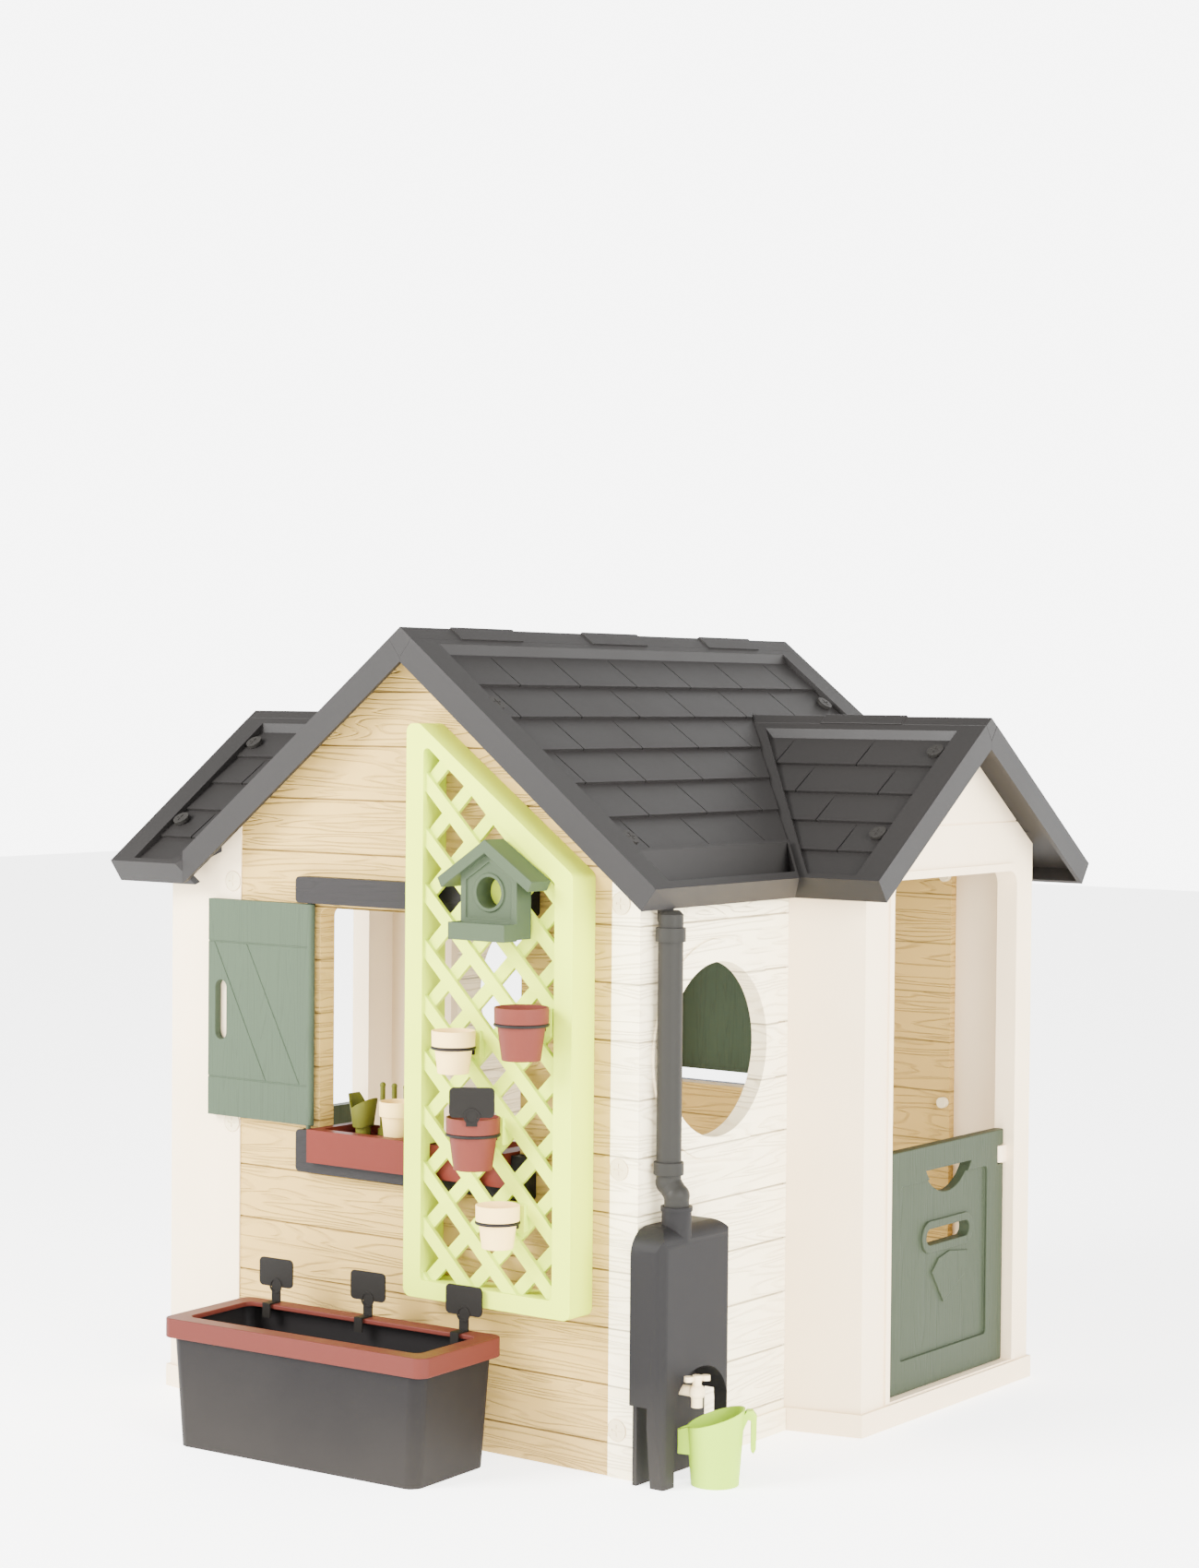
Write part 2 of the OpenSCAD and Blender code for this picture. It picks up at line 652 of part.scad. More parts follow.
// ---------- window trim and shutters ----------
trim_w = win_w + 2 * trim_side;
module lintel() {
    difference() {
        translate([0, 0, lintel_z + lintel_h / 2]) along_y(-wy - trim_out, -wy - fit)
            round_rect(trim_w, lintel_h, 8);
        for (sx = [-1, 1]) translate([sx * hinge_x, -hinge_y, lintel_z - 1])
            cylinder(r = shutter_pin_r + pin_gap, h = 14);
    }
}
module front_lintel() { place() color(slate) lintel(); }
module back_lintel() { place() color(slate) half_turn() lintel(); }

module sill() {
    arm_top = shutter_z - 7;
    difference() {
        translate([0, 0, win_z - sill_h]) along_y(-wy - trim_out, -wy - fit) difference() {
            translate([0, (sill_h + 16) / 2]) round_rect(trim_w - 6, sill_h + 16, 8);
            translate([0, sill_h]) arch_rect_flat(win_w, 40);
        }
        for (sx = [-1, 1]) translate([sx * hinge_x, -hinge_y, arm_top - 12])
            cylinder(r = shutter_pin_r + pin_gap, h = 14);
    }
}
module arch_rect_flat(w, h) { translate([-w / 2, 0]) square([w, h]); }
module front_sill() { place() color(slate) sill(); }
module back_sill() { place() color(slate) half_turn() sill(); }

// shutter that lies along +X from its hinge axis, face towards -Y
module shutter(drawn_open) {
    far = drawn_open ? -shutter_w : shutter_w;
    face = drawn_open ? -1 : -1;
    cx = far / 2;
    tail = (far > 0) ? -3 : 3;
    difference() {
        union() {
            translate([min(0, far), -shutter_t / 2, 0]) cube([shutter_w, shutter_t, shutter_h]);
            translate([min(0, tail), -shutter_t / 2, 0]) cube([3, shutter_t, shutter_h]);
            translate([tail, 0, 0]) cylinder(r = shutter_t / 2, h = shutter_h);
            translate([0, 0, -14]) cylinder(r = shutter_pin_r, h = shutter_h + 25);
        }
        // hand slot
        translate([far - sign(far) * 30, 0, shutter_h / 2 - 4]) along_y(-shutter_t, shutter_t)
            rotate([0, 0, 90]) stadium(104, 26);
        // fine grooves of the two rails and the diagonal brace
        along_y(-shutter_t / 2 - 1, -shutter_t / 2 + 1.4) brace_lines(far);
    }
}
// groove lines seen from the front, the brace leans towards the hinge as it falls
module brace_lines(far) {
    z0 = 67;
    z1 = shutter_h - 74;
    d = sign(far);
    for (z = [z0, z1]) translate([min(0, far) - 1, z - 1.3]) square([shutter_w + 2, 2.6]);
    for (k = [0, 1]) {
        xa = d * (shutter_w - 15 - 76 * k);
        xb = d * (shutter_w - 138 - 78 * k);
        polygon([[xa - 1.4, z1], [xa + 1.4, z1], [xb + 1.4, z0], [xb - 1.4, z0]]);
    }
}
module front_shutter() { place() color(sage) translate([-hinge_x, -hinge_y, shutter_z]) shutter(true); }
module back_shutter_left() {
    place() color(sage) half_turn() translate([hinge_x, -hinge_y, shutter_z]) shutter(true);
}
module back_shutter_right() {
    place() color(sage) half_turn() translate([-hinge_x, -hinge_y, shutter_z]) shutter(false);
}

// tray that rests on the sill, half outside and half inside
module window_tray() {
    w = win_w - 6;
    front = -wy - tray_out;
    back = -wy + wall_t + 46;
    place() color(clay) difference() {
        union() {
            translate([-w / 2, front, win_z + fit]) cube([w, back - front, tray_top - win_z - fit]);
            translate([-w / 2, front, win_z - sill_h + 20])
                cube([w, tray_out - trim_out - fit, sill_h]);
        }
        // sunken beds for the pot and the tools
        translate([-113, -wy + 30, win_z + 6]) linear_extrude(40) round_rect(168, 90, 10);
        translate([96, -wy + 30, win_z + 6]) linear_extrude(40) round_rect(170, 90, 10);
        translate([trowel_x, trowel_y, win_z - 1]) cylinder(r = tool_r + 1, h = 40);
        translate([rake_x, rake_y, win_z - 1]) cylinder(r = tool_r + 1, h = 40);
    }
}
bed_z = win_z + 6 + fit;
trowel_x = -160;
trowel_y = -wy + wall_t + 12;
rake_x = -106;
rake_y = -wy + wall_t + 30;
tool_r = 9;

// ---------- trellis and what hangs on it ----------
tx1 = trellis_x + trellis_w;
tz1 = trellis_z0 + trellis_high;
module trellis_outline(inset) {
    i = inset;
    k = (trellis_high - trellis_low) / (trellis_w - 27);
    polygon([[trellis_x + i, trellis_z0 + i * 0.8], [tx1 - i, trellis_z0 + i * 0.8],
        [tx1 - i, trellis_z0 + trellis_low - i * 0.4], [trellis_x + 27 + i * 0.4, tz1 - i],
        [trellis_x + i, tz1 - i]]);
}
pads = [[302, 722], [158, 676], [206, 540], [251, 405]];
module trellis() {
    hole_x = 288;
    hole_z = 640;
    place() color(lime) difference() {
        union() {
            along_y(trellis_y, -wy - fit) difference() {
                offset(r = 14) offset(delta = -14) trellis_outline(0);
                offset(r = 8) offset(delta = -8) trellis_outline(trellis_bar);
            }
            for (d = [-1, 1]) intersection() {
                along_y(trellis_y + (d < 0 ? 6 : 14), trellis_y + (d < 0 ? 14 : 22))
                    trellis_outline(trellis_bar - 6);
                for (k = [-9 : 9]) translate([hole_x, 0, hole_z]) rotate([0, 45 * d, 0])
                    translate([(k + 0.5) * lattice_pitch / sqrt(2) - slat_w / 2, trellis_y, -700])
                        cube([slat_w, 40, 1400]);
            }
            // plates that carry the pot rings and the birdhouse
            for (p = pads) translate([p[0] - 22, trellis_y, p[1] - 22]) cube([44, 16, 44]);
            translate([226, 0, 925]) along_y(trellis_y, trellis_y + 16) circle(r = 34);
            translate([196, trellis_y, 868]) cube([60, 16, 40]);
        }
        // room for the lintel, the sill and the tray behind the frame
        translate([0, -wy - trim_out - 1, lintel_z - 1]) cube([trim_w / 2 + 1, trim_out + 2, lintel_h + 2]);
        translate([0, -wy - trim_out - 1, win_z - sill_h - 1]) cube([trim_w / 2 + 1, trim_out + 2, sill_h + 18]);
        translate([0, -wy - tray_out - 1, win_z - sill_h + 18])
            cube([win_w / 2 + 1, tray_out + 2, tray_top - win_z + sill_h - 16]);
    }
}
bird_x = 226;
module birdhouse() {
    y1 = trellis_y - fit;
    place() color(sage) difference() {
        union() {
            // box
            along_y(y1 - 38, y1) polygon([[bird_x - 57, 852], [bird_x + 57, 852], [bird_x + 57, 958],
                [bird_x, 996], [bird_x - 57, 958]]);
            // two roof boards
            along_y(y1 - 50, y1) polygon([[bird_x, 1010], [bird_x + 96, 946], [bird_x + 88, 930],
                [bird_x, 988], [bird_x - 88, 930], [bird_x - 96, 946]]);
            // perch tray
            translate([bird_x - 57, y1 - 70, 850]) cube([114, 34, 28]);
        }
        translate([bird_x, y1 - 80, 925]) rotate([-90, 0, 0]) cylinder(r = 25, h = 100);
        translate([bird_x - 51, y1 - 64, 858]) cube([102, 22, 40]);
        // sunken face around the hole
        difference() {
            along_y(y1 - 39, y1 - 35) polygon([[bird_x - 46, 884], [bird_x + 46, 884], [bird_x + 46, 944],
                [bird_x, 974], [bird_x - 46, 944]]);
            translate([bird_x, y1 - 80, 925]) rotate([-90, 0, 0]) cylinder(r = 31, h = 100);
        }
    }
}
// pot on z = 0 with a rim band that rests on its ring
band_h = 25;
module pot(r, h) {
    rotate_extrude() polygon([[0, 0], [r * 0.72, 0], [r - 4, h - band_h], [r, h - band_h], [r + 0.5, h],
        [r - 2, h], [r - 2.5, h - band_h + 3], [r - 4 - pot_wall, h - band_h],
        [r * 0.72 - pot_wall, 3], [0, 3]]);
}
// ring around a pot, with its bracket towards the trellis
module pot_ring(r) {
    c = r - 4 + 0.5 + wire_r;
    rotate_extrude() translate([c, 0]) circle(wire_r, $fn = 16);
    difference() {
        translate([-12, c, -14]) cube([24, r + 5 - fit - c, 14 + wire_r]);
        translate([0, 0, -20]) cylinder(r = c, h = 40);
    }
}
function ring_y(r) = trellis_y - 5 - r;
pot_at = [[302, 749], [206, 567], [158, 701], [251, 430]];
module hung_pot(i, r, h) { place() translate([pot_at[i][0], ring_y(r), pot_at[i][1] - h]) pot(r, h); }
module hung_ring(i, r) {
    place() translate([pot_at[i][0], ring_y(r), pot_at[i][1] - band_h - wire_r - fit]) pot_ring(r);
}
module red_pot_upper() { color(clay) hung_pot(0, pot_r, pot_h); }
module red_pot_lower() { color(clay) hung_pot(1, pot_r, pot_h); }
module cream_pot_upper() { color(pot_cream) hung_pot(2, small_pot_r, small_pot_h); }
module cream_pot_lower() { color(pot_cream) hung_pot(3, small_pot_r, small_pot_h); }
module red_ring_upper() { color(slate) hung_ring(0, pot_r); }
module red_ring_lower() { color(slate) hung_ring(1, pot_r); }
module cream_ring_upper() { color(slate) hung_ring(2, small_pot_r); }
module cream_ring_lower() { color(slate) hung_ring(3, small_pot_r); }

// name plate with a stem, standing on z = 0 in the XZ plane, 2.5 thick
module name_plate(stem) {
    translate([0, 0, stem + label_h / 2]) along_y(-1.25, 1.25) round_rect(label_w, label_h, 8);
    translate([-9, -1.25, 0]) cube([18, 2.5, stem + 8]);
    translate([0, 0, stem + 2]) along_y(-2.5, -1) difference() { circle(r = 13); circle(r = 10); }
}
// the label hooks over the front of the lower red pot's rim
module pot_label() {
    place() color(slate) translate([pot_at[1][0], ring_y(pot_r), pot_at[1][1]]) rotate([0, 0, 36]) {
        translate([0, -pot_r - 3.5, -9]) name_plate(14);
        translate([-6, -pot_r - 3, fit]) cube([12, 14, 2.5]);
        translate([-6, -pot_r + 8.5, -14]) cube([12, 2.5, 16.8]);
    }
}

// ---------- planter ----------
module at_planter() { place() translate([planter_x, planter_y, 0]) rotate([0, 0, planter_turn]) children(); }
rim_h = 32;
tub_w0 = planter_w - 49;
tub_d0 = planter_d - 28;
module planter_tub() {
    top_w = planter_w - 20;
    top_d = planter_d - 16;
    h = planter_h - 8 - fit;
    at_planter() color("#565453") difference() {
        hull() {
            linear_extrude(1) round_rect(tub_w0, tub_d0, 22, $fn = 32);
            translate([0, 0, h - 1]) linear_extrude(1) round_rect(top_w, top_d, 24, $fn = 32);
        }
        hull() {
            translate([0, 0, 14]) linear_extrude(1) round_rect(tub_w0 - 10, tub_d0 - 10, 18, $fn = 32);
            translate([0, 0, h + 1]) linear_extrude(1) round_rect(top_w - 8, top_d - 8, 20, $fn = 32);
        }
    }
}
module planter_rim() {
    at_planter() color(clay) difference() {
        translate([0, 0, planter_h - rim_h]) linear_extrude(rim_h) round_rect(planter_w, planter_d, planter_r);
        translate([0, 0, planter_h - rim_h - 1]) linear_extrude(rim_h - 7)
            round_rect(planter_w - 12, planter_d - 12, planter_r - 4);
        linear_extrude(planter_h + 1) round_rect(planter_w - 64, planter_d - 64, planter_r - 6);
    }
}
module planter_label(k) {
    at_planter() color(slate) translate([k * 197, planter_d / 2 - 12, planter_h + fit]) {
        name_plate(26);
        translate([-8, -24, 0]) cube([16, 24, 2.5]);
        translate([-8, -26.5, -22]) cube([16, 2.5, 24.5]);
    }
}
module planter_label_left() { planter_label(-1); }
module planter_label_middle() { planter_label(0); }
module planter_label_right() { planter_label(1); }

// ---------- rain system ----------
pipe_z0 = 486;
pipe_z1 = 872;
collar_r = pipe_r + 4;
module downpipe() {
    place() color(slate) translate([pipe_x, pipe_y, pipe_z0]) difference() {
        cylinder(r = pipe_r, h = pipe_z1 - pipe_z0);
        translate([0, 0, -1]) cylinder(r = pipe_r - 3, h = pipe_z1 - pipe_z0 + 2);
    }
}
module upper_elbow() {
    top = gutter_z - 5.5 - fit;
    place() color(slate) translate([pipe_x, pipe_y, 0]) difference() {
        union() {
            translate([0, 0, pipe_z1 - 19]) cylinder(r = collar_r, h = 22);
            translate([0, 0, pipe_z1 + 2]) cylinder(r = pipe_r, h = 22);
            translate([0, 0, pipe_z1 + 24]) cylinder(r1 = pipe_r, r2 = 14, h = 6);
            translate([-10, 0, pipe_z1 + 12]) cylinder(r = 13, h = top - pipe_z1 - 12);
        }
        translate([0, 0, pipe_z1 - 20]) cylinder(r = pipe_r + fit, h = 20 + fit);
        translate([0, 0, pipe_z1 - 1]) cylinder(r = pipe_r - 4, h = 20);
        translate([-10, 0, pipe_z1 + 5]) cylinder(r = 10, h = 60);
    }
}
module lower_elbow() {
    place() color(slate) translate([pipe_x, pipe_y, 0]) difference() {
        union() {
            translate([0, 0, pipe_z0 - 2]) cylinder(r = collar_r, h = 21);
            translate([0, 0, pipe_z0 - 14]) cylinder(r = pipe_r, h = 14);
            translate([0, 0, pipe_z0 - 14]) sphere(r = pipe_r + 0.8);
            translate([16, 0, 452]) sphere(r = pipe_r + 0.8);
            translate([0, 0, pipe_z0 - 14]) rotate([0, 141.3, 0]) cylinder(r = pipe_r - 0.6, h = 25.6);
            translate([16, 0, tank_h + 8 + fit]) cylinder(r = pipe_r, h = 452 - tank_h - 8 - fit);
        }
        translate([0, 0, pipe_z0 - 0.3]) cylinder(r = pipe_r + fit, h = 22);
        translate([0, 0, pipe_z0 - 6]) cylinder(r = pipe_r - 4, h = 10);
    }
}
tank_x0 = wx + skirt_out + 1;
tank_x1 = tank_x0 + tank_d;
arch_y = tank_y0 + 39 + 74;
tank_top = tank_h - 14;
module tank_plan() {
    translate([tank_x0, tank_y0]) square([tank_d - 20, tank_w]);
    translate([tank_x0, tank_y0 + 20]) square([tank_d, tank_w - 40]);
    for (y = [20, tank_w - 20]) translate([tank_x1 - 20, tank_y0 + y]) circle(20);
}
module tank_side() {
    translate([tank_x0, 0]) square([tank_d - 30, tank_top]);
    translate([tank_x0, 0]) square([tank_d, tank_top - 30]);
    translate([tank_x1 - 30, tank_top - 30]) circle(30);
}
module rain_tank() {
    body_z = 128;
    place() color("#605f5d") difference() {
        union() {
            // body with round shoulders, two legs and the panel behind the arch
            intersection() {
                union() {
                    translate([0, tank_y0 + tank_w / 2, body_z]) along_x(tank_x0, tank_x1)
                        arch_rect(tank_w, tank_top - body_z, 44);
                    along_x(tank_x1 - 26, tank_x1) {
                        polygon([[tank_y0 + 10, 0], [tank_y0 + 40, 0], [tank_y0 + 40, body_z + 40],
                            [tank_y0, body_z + 40], [tank_y0, 96]]);
                        translate([tank_y0 + tank_w - 14, 0]) square([14, body_z + 40]);
                    }
                    translate([tank_x0, tank_y0 + 10, 0]) cube([8, tank_w - 12, body_z + 10]);
                }
                linear_extrude(500) tank_plan();
                along_y(tank_y0 - 1, tank_y0 + tank_w + 1) tank_side();
            }
            translate([neck_x, pipe_y, tank_h - 70]) cylinder(r = 23.8, h = 86);
            translate([neck_x, pipe_y, tank_h + 9]) cylinder(r = 25.5, h = 7);
        }
        translate([neck_x, pipe_y, tank_h + 8]) cylinder(r = pipe_r + 1, h = 20);
        // arch for the tap
        translate([0, arch_y, -1]) along_x(tank_x0 + 8, tank_x1 + 1) arch_rect(148, 179, 70);
        // seat of the tap
        translate([tank_x0 + 3, tap_y, tap_z]) rotate([0, 90, 0]) cylinder(r = 9 + fit, h = 20);
    }
}
tap_y = arch_y - 42;
tap_z = 148;
tap_reach = tank_d + 17;
module tap_body() {
    place() color(cream) translate([tank_x0 + 3 + fit, tap_y, tap_z]) {
        rotate([0, 90, 0]) cylinder(r = 8.8, h = tap_reach);
        translate([5.5, 0, 0]) rotate([0, 90, 0]) cylinder(r = 11, h = 6);
        translate([tap_reach, 0, 0]) sphere(r = 13);
        translate([tap_reach, 0, -24]) cylinder(r = 9, h = 24);
        translate([tap_reach, 0, 0]) cylinder(r = 7, h = 16);
        translate([tap_reach, 0, 15]) cylinder(r = 3.5, h = 9);
    }
}
module tap_handle() {
    place() color(cream) translate([tank_x0 + 3 + fit + tap_reach, tap_y, tap_z + 16 + fit]) difference() {
        union() {
            cylinder(r = 7.5, h = 10);
            for (a = [0, 180]) rotate([0, 0, a + 60]) {
                translate([4, -3, 2]) cube([9, 6, 6]);
                translate([15, 0, 1]) cylinder(r = 7, h = 8);
            }
        }
        translate([0, 0, -1]) cylinder(r = 3.5 + pin_gap, h = 9 + fit);
    }
}
module watering_can() {
    wall = 3;
    place() color(lime) translate([can_x, can_y, 0]) rotate([0, 0, -54]) {
        difference() {
            union() {
                cylinder(r1 = can_r, r2 = can_r + 9, h = can_h);
                translate([0, 0, can_h * 0.4]) linear_extrude(can_h * 0.6)
                    polygon([[-17, -30], [-4, -can_r - 21], [4, -can_r - 21], [17, -30]]);
            }
            translate([0, 0, wall]) cylinder(r1 = can_r - wall, r2 = can_r + 6.5, h = can_h);
            translate([0, 0, can_h * 0.4 + 8]) linear_extrude(can_h)
                polygon([[-12, -20], [-2, -can_r - 17], [2, -can_r - 17], [12, -20]]);
            // slanted mouth, low at the spout
            translate([-70, -90, can_h - 45.5]) rotate([18, 0, 0]) cube([140, 260, 90]);
        }
        // open strap handle at the back
        along_x(-9, 9) polygon([[can_r + 6, 88], [can_r + 6, 110], [can_r + 12, can_h - 4],
            [can_r + 21, can_h - 4], [can_r + 27, 110], [can_r + 26, 58], [can_r + 22, 50],
            [can_r + 18, 54], [can_r + 18, 102], [can_r + 13, 104]]);
    }
}

// ---------- tools and pot on the tray ----------
module trowel() {
    place() color(leaf) translate([trowel_x, trowel_y, bed_z]) {
        translate([0, 0, -54]) cylinder(r = tool_r, h = 58);
        cylinder(r = 13, h = 16);
        difference() {
            intersection() {
                translate([0, 0, 14]) cylinder(r1 = 18, r2 = 27, h = 66);
                translate([0, 40, 46]) rotate([90, 0, 0]) cylinder(r = 33, h = 80);
            }
            translate([0, 0, 20]) cylinder(r1 = 15.5, r2 = 24.5, h = 72);
            translate([0, -40, 52]) rotate([0, -28, 0]) translate([-10, 0, 0]) cube([90, 90, 70]);
        }
    }
}
module hand_rake() {
    place() color(leaf) translate([rake_x, rake_y, bed_z]) {
        translate([0, 0, -54]) cylinder(r = tool_r, h = 58);
        translate([-32, -5, 0]) cube([64, 10, 12]);
        for (k = [-1, 0, 1]) translate([k * 26, 0, 8]) {
            cylinder(r = 4.5, h = 78);
            translate([0, 0, 78]) sphere(r = 5.2);
        }
    }
}
window_pot_x = -66;
window_pot_r = 31;
module window_pot() {
    place() color(pot_cream) translate([window_pot_x, -wy + window_pot_r - 3.5, bed_z]) pot(window_pot_r, 68);
}

// ---------- fasteners ----------
module screw_head(r, h) {
    difference() {
        cylinder(r = r, h = h);
        translate([-r * 0.55, -1.5, h - 1.2]) cube([r * 1.1, 3, 2]);
        translate([-1.5, -r * 0.55, h - 1.2]) cube([3, r * 1.1, 2]);
    }
}
module corner_screws() {
    place() color(cream) for (a = [0, 180]) rotate([0, 0, a]) for (sx = [-1, 1]) for (z = screw_z)
        translate([sx * screw_x, -wy - post_proud - fit + screw_sink, z]) rotate([90, 0, 0]) {
            screw_head(screw_r, 1.9);
            translate([0, 0, -wall_t - post_proud - 7]) cylinder(r = shank_r, h = wall_t + post_proud + 8);
        }
}
module corner_nuts() {
    place() color(cream) for (a = [0, 180]) rotate([0, 0, a]) for (sx = [-1, 1]) for (z = screw_z)
        translate([sx * screw_x, -wy + wall_t + fit + 12, z]) rotate([90, 0, 0]) difference() {
            cylinder(r = nut_r, h = 12);
            translate([0, 0, 3]) cylinder(r = shank_r + pin_gap, h = 12);
        }
}
module roof_screw() {
    translate([0, 0, -8 + fit]) screw_head(roof_screw_r, 7);
    translate([0, 0, -roof_t + 0.5]) cylinder(r = shank_r, h = roof_t - 7);
}
module roof_screws() {
    place() color(slate) for (a = [0, 180]) rotate([0, 0, a]) {
        on_main() for (s = main_screws) translate([s[0], s[1], 0]) roof_screw();
        on_dormer() for (s = dormer_screws) translate([s[0], s[1], 0]) roof_screw();
        other_slope() on_dormer() for (s = dormer_screws) translate([s[0], s[1], 0]) roof_screw();
    }
}

front_wall();
back_wall();
right_window_wall();
left_window_wall();
right_porch_wall();
left_porch_wall();
right_main_roof();
left_main_roof();
main_ridge_cap();
right_dormer_near_slope();
right_dormer_far_slope();
right_dormer_cap();
left_dormer_near_slope();
left_dormer_far_slope();
left_dormer_cap();
front_lintel();
back_lintel();
front_sill();
back_sill();
window_tray();
front_shutter();
back_shutter_left();
back_shutter_right();
right_half_door();
left_half_door();
trellis();
birdhouse();
red_pot_upper();
red_pot_lower();
cream_pot_upper();
cream_pot_lower();
red_ring_upper();
red_ring_lower();
cream_ring_upper();
cream_ring_lower();
pot_label();
planter_tub();
planter_rim();
planter_label_left();
planter_label_middle();
planter_label_right();
downpipe();
upper_elbow();
lower_elbow();
rain_tank();
tap_body();
tap_handle();
watering_can();
trowel();
hand_rake();
window_pot();
corner_screws();
corner_nuts();
roof_screws();
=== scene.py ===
import bmesh
import bpy
import json
from math import cos, floor, radians, sin
from mathutils import Matrix, Vector

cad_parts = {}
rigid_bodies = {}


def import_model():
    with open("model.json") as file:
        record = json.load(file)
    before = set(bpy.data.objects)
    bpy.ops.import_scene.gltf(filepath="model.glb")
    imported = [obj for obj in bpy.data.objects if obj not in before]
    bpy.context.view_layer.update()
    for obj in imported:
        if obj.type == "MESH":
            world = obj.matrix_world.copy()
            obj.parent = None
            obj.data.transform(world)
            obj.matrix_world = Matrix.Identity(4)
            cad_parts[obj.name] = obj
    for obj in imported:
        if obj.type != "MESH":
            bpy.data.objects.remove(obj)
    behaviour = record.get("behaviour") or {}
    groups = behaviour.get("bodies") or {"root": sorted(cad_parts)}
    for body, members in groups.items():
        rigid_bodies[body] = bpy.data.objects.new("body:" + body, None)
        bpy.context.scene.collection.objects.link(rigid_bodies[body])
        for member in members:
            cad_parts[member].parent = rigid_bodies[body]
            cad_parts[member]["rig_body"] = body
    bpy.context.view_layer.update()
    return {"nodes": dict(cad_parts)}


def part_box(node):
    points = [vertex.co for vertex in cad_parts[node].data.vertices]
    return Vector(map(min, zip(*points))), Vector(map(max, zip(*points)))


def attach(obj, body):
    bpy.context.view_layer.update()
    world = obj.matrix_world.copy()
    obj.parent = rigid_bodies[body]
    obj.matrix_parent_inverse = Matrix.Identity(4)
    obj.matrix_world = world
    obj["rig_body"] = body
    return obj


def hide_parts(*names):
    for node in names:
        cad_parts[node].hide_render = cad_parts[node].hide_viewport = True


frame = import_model()

# Where the house stands in the frame, the viewpoint of a grown-up in front of the right
# corner, and a plain studio: a pale glowing floor and a bright horizon, with one big soft
# light from the front left and a weaker one from the right.
half_depth = 0.530
house_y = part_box("front_wall")[0].y + half_depth
eye_spot = Vector((3.159157, -4.314224 + house_y, 1.231106))
turn, dip, lean = radians(36.383), radians(1.605), radians(0.481)
lens_mm, film_mm = 68.14, 36
ahead = Vector((-sin(turn) * cos(dip), cos(turn) * cos(dip), -sin(dip)))
side = Vector((cos(turn), sin(turn), 0))
above = side.cross(ahead)
across = cos(lean) * side + sin(lean) * above
upward = -sin(lean) * side + cos(lean) * above
eye = bpy.data.objects.new("camera", bpy.data.cameras.new("camera"))
eye.data.lens = lens_mm
eye.data.sensor_width = film_mm
eye.matrix_world = Matrix((
    (across.x, upward.x, -ahead.x, eye_spot.x),
    (across.y, upward.y, -ahead.y, eye_spot.y),
    (across.z, upward.z, -ahead.z, eye_spot.z), (0, 0, 0, 1)))
bpy.context.scene.collection.objects.link(eye)
bpy.context.scene.camera = eye


class Socket:
    """An output of a node, which can be used in sums."""

    def __init__(self, finish, link):
        self.finish, self.link = finish, link

    def sum(self, operation, *terms):
        return self.finish.node("ShaderNodeMath", {"operation": operation}, dict(enumerate(terms)))

    def __add__(self, other): return self.sum("ADD", self, other)
    def __radd__(self, other): return self.sum("ADD", other, self)
    def __sub__(self, other): return self.sum("SUBTRACT", self, other)
    def __rsub__(self, other): return self.sum("SUBTRACT", other, self)
    def __mul__(self, other): return self.sum("MULTIPLY", self, other)
    def __rmul__(self, other): return self.sum("MULTIPLY", other, self)
    def __truediv__(self, other): return self.sum("DIVIDE", self, other)
    def __rtruediv__(self, other): return self.sum("DIVIDE", other, self)
    def __abs__(self): return self.sum("ABSOLUTE", self)
    def __floor__(self): return self.sum("FLOOR", self)
    def __mod__(self, other): return self.sum("FLOORED_MODULO", self, other)


class Finish:
    """A material or a world with its shader, and the one method that adds nodes to it."""

    def __init__(self, name, kind="materials", shader="Principled BSDF", **fixed):
        self.stuff = getattr(bpy.data, kind).new(name)
        self.stuff.use_nodes = True
        self.tree = self.stuff.node_tree
        self.shader = self.tree.nodes[shader]
        for key, value in fixed.items():
            self.shader.inputs[key.replace("_", " ")].default_value = value

    def node(self, kind, settings=None, sockets=None, out=0):
        """A new node with its settings and the values or links of its sockets."""
        made = self.tree.nodes.new(kind)
        for key, value in (settings or {}).items():
            setattr(made, key, value)
        for key, value in (sockets or {}).items():
            if isinstance(value, Socket):
                self.tree.links.new(value.link, made.inputs[key])
            else:
                made.inputs[key].default_value = value
        return Socket(self, made.outputs[out])

    def fade(self, value, start, end, settings=None):
        """Rises from 0 to 1 while the value goes from start to end."""
        return self.node("ShaderNodeMapRange", settings, {0: value, 1: start, 2: end})

    def mix(self, amount, one, other):
        return self.node("ShaderNodeMix", {"data_type": "RGBA"}, {0: amount, 6: one, 7: other}, 2)

    def feed(self, name, socket):
        self.tree.links.new(socket.link, self.shader.inputs[name])


def dye(r, g, b, light=1.0):
    """A pigment given as the usual 0 to 255 values, as the shader wants it."""
    return tuple(min(1, (((v / 255 + 0.055) / 1.055) ** 2.4 if v > 10 else v / 255 / 12.92) * light)
                 for v in (r, g, b)) + (1,)


floor_half = 14
white, dim = (1, 1, 1, 1), (0.1, 0.1, 0.1, 1)
studio = Finish("studio_floor", Roughness=0.85, Emission_Color=white, Emission_Strength=3.0)
studio.feed("Base Color", studio.mix(studio.node("ShaderNodeTexNoise", {}, {"Scale": 0.8}),
                                     dye(246, 246, 246), dye(249, 249, 249)))
ground = bmesh.new()
bmesh.ops.create_grid(ground, x_segments=4, y_segments=4, size=floor_half)
floor_mesh = bpy.data.meshes.new("studio_floor")
ground.to_mesh(floor_mesh)
floor_mesh.materials.append(studio.stuff)
floor_piece = bpy.data.objects.new("studio_floor", floor_mesh)
bpy.context.scene.collection.objects.link(floor_piece)

